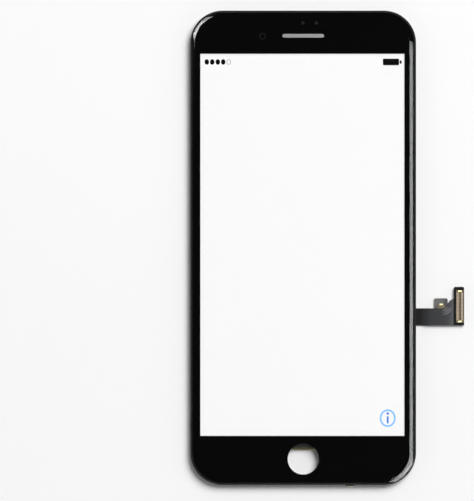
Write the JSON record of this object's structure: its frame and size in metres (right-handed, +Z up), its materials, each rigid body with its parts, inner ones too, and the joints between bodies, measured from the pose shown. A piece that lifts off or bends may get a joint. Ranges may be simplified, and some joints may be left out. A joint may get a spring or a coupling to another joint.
{
  "type": "phone lcd screen assembly",
  "caption": "Flat phone display assembly: curved-edge glass in a moulded frame with a home button opening, backed display module and folded flex tail with board connectors.",
  "frame": {"origin": "middle of the body on the plane that the frame's foot stands on", "axes": "+X toward the flex tail's side, +Y toward the earpiece, +Z up out of the glass"},
  "size_m": [0.0905, 0.1572, 0.0029],
  "materials": {
    "cover_glass": "clear, polished, curved edge",
    "black_print": "black print under the glass",
    "black_glue": "matte",
    "clear_adhesive": "clear",
    "screen_white": "white screen face",
    "panel_glass": "thin display glass",
    "polarizer": "smooth film",
    "chip": "matte",
    "optical_film": "translucent film",
    "light_guide": "clear plastic",
    "reflector": "white film",
    "amber_film": "flex film",
    "lamp": "moulded",
    "white_plastic": "moulded white",
    "tray_metal": "thin sheet, satin",
    "red_film": "glossy protective film",
    "white_tape": "matte white",
    "silver_label": "speckled label, left bare",
    "white_label": "matte",
    "black_dots": "matte",
    "display_flex": "black flexible circuit",
    "touch_flex": "black flexible circuit",
    "flex_glue": "thin glue",
    "beige_pad": "pale adhesive pad",
    "stiffener": "stiff board",
    "grey_stiffener": "dull grey plate",
    "connector_plastic": "moulded, matte",
    "tan_contacts": "row of contacts",
    "gold": "gold plated",
    "pale_component": "small pale parts",
    "dark_component": "small dark parts",
    "frame_plastic": "fine moulded texture",
    "insert_metal": "pressed metal rings",
    "ear_mesh": "fine grey mesh",
    "grey_foam": "soft gasket",
    "camera_ring": "gloss ring",
    "sensor_filter": "dark filter",
    "black_foam": "closed-cell foam",
    "yellow_tape": "insulating tape",
    "silver_contact": "thin spring metal",
    "black_rubber": "matte"
  },
  "bodies": {
    "root": {"cover_glass": "cover_glass", "border_mask": "black_print", "frame_adhesive": "black_glue", "optical_adhesive": "clear_adhesive", "front_polarizer": "screen_white", "color_filter_glass": "panel_glass", "tft_glass": "panel_glass", "rear_polarizer": "polarizer", "driver_chip": "chip", "rim_tape": "black_glue", "prism_film_upper": "optical_film", "prism_film_lower": "optical_film", "diffuser_film": "optical_film", "light_guide": "light_guide", "reflector_film": "reflector", "led_flex": "amber_film", "leds": "lamp", "backlight_frame": "white_plastic", "back_tray": "tray_metal", "red_film": "red_film", "white_tape": "white_tape", "center_label": "silver_label", "small_label": "white_label", "side_tape": "white_label", "tray_pips": "black_dots", "display_flex": "display_flex", "touch_flex": "touch_flex", "flex_adhesive": "flex_glue", "flex_pads": "beige_pad", "stiffener_main": "stiffener", "stiffener_patch": "beige_pad", "stiffener_display": "grey_stiffener", "connector_display": "connector_plastic", "display_nails": "gold", "connector_main": "connector_plastic", "main_contacts": "tan_contacts", "main_nails": "gold", "component_blocks": "pale_component", "component_housings": "dark_component", "bezel_frame": "frame_plastic", "screw_inserts": "insert_metal", "earpiece_mesh": "ear_mesh", "earpiece_gasket": "grey_foam", "camera_ring": "camera_ring", "sensor_filters": "sensor_filter", "top_foam": "black_foam", "yellow_tape": "yellow_tape", "ground_contact": "silver_contact", "contact_boot": "black_rubber", "edge_contact": "gold", "spring_clip": "silver_contact"}
  },
  "joints": []
}
